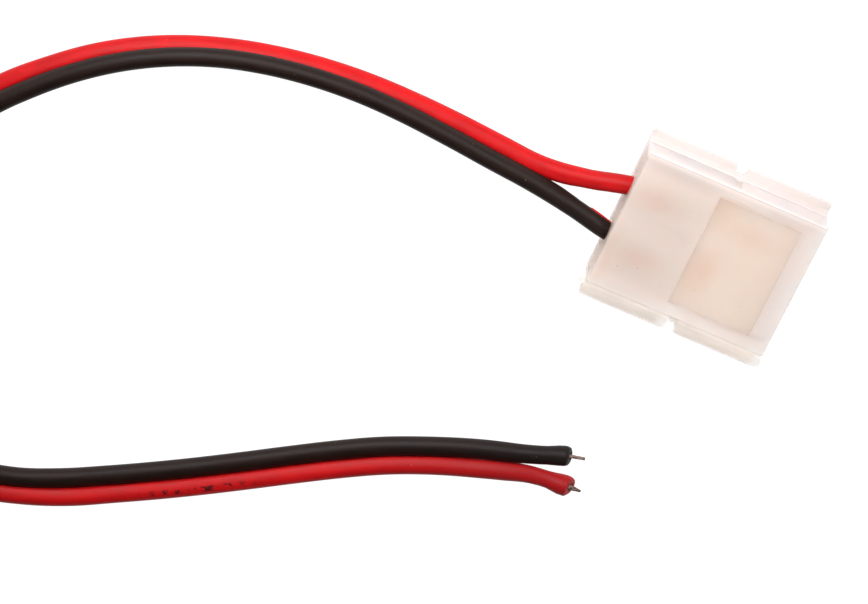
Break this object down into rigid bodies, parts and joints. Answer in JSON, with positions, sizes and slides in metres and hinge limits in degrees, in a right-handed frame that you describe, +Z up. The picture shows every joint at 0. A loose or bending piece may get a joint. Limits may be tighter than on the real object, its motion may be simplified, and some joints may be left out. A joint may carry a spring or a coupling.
{
  "type": "led strip connector",
  "caption": "Solderless LED strip connector: a flat folding clear housing with a hinged cover, a foam pad over crimped contacts and a bonded twin lead with tinned ends.",
  "frame": {"origin": "On the underside of the base plate, under the middle of the cover's outline", "axes": "+X from the wire end to the strip slot, +Y from the hinge to the finger ledge, +Z up out of the cover"},
  "size_m": [0.072, 0.0545, 0.0036],
  "materials": {
    "housing": "milky clear",
    "pad": "cream foam",
    "contact": "stamped bronze",
    "tinned_wire": "tinned",
    "red_insulation": "satin",
    "black_insulation": "satin"
  },
  "bodies": {
    "housing": {"base_plate": "housing", "contact_positive": "contact", "contact_negative": "contact", "red_core": "tinned_wire", "black_core": "tinned_wire", "red_wire": "red_insulation", "black_wire": "black_insulation", "red_tinned_tip": "tinned_wire", "black_tinned_tip": "tinned_wire", "hinge_film_front": "housing", "hinge_film_rear": "housing"},
    "lid": {"cover": "housing", "strip_pad": "pad"}
  },
  "joints": [
    {"name": "cover_hinge", "type": "hinge", "parent": "housing", "child": "lid", "pos_m": [0, -0.00797, 0.0018], "axis": [1, 0, 0], "range_deg": [0, 165], "deforming": ["hinge_film_front", "hinge_film_rear"]}
  ]
}
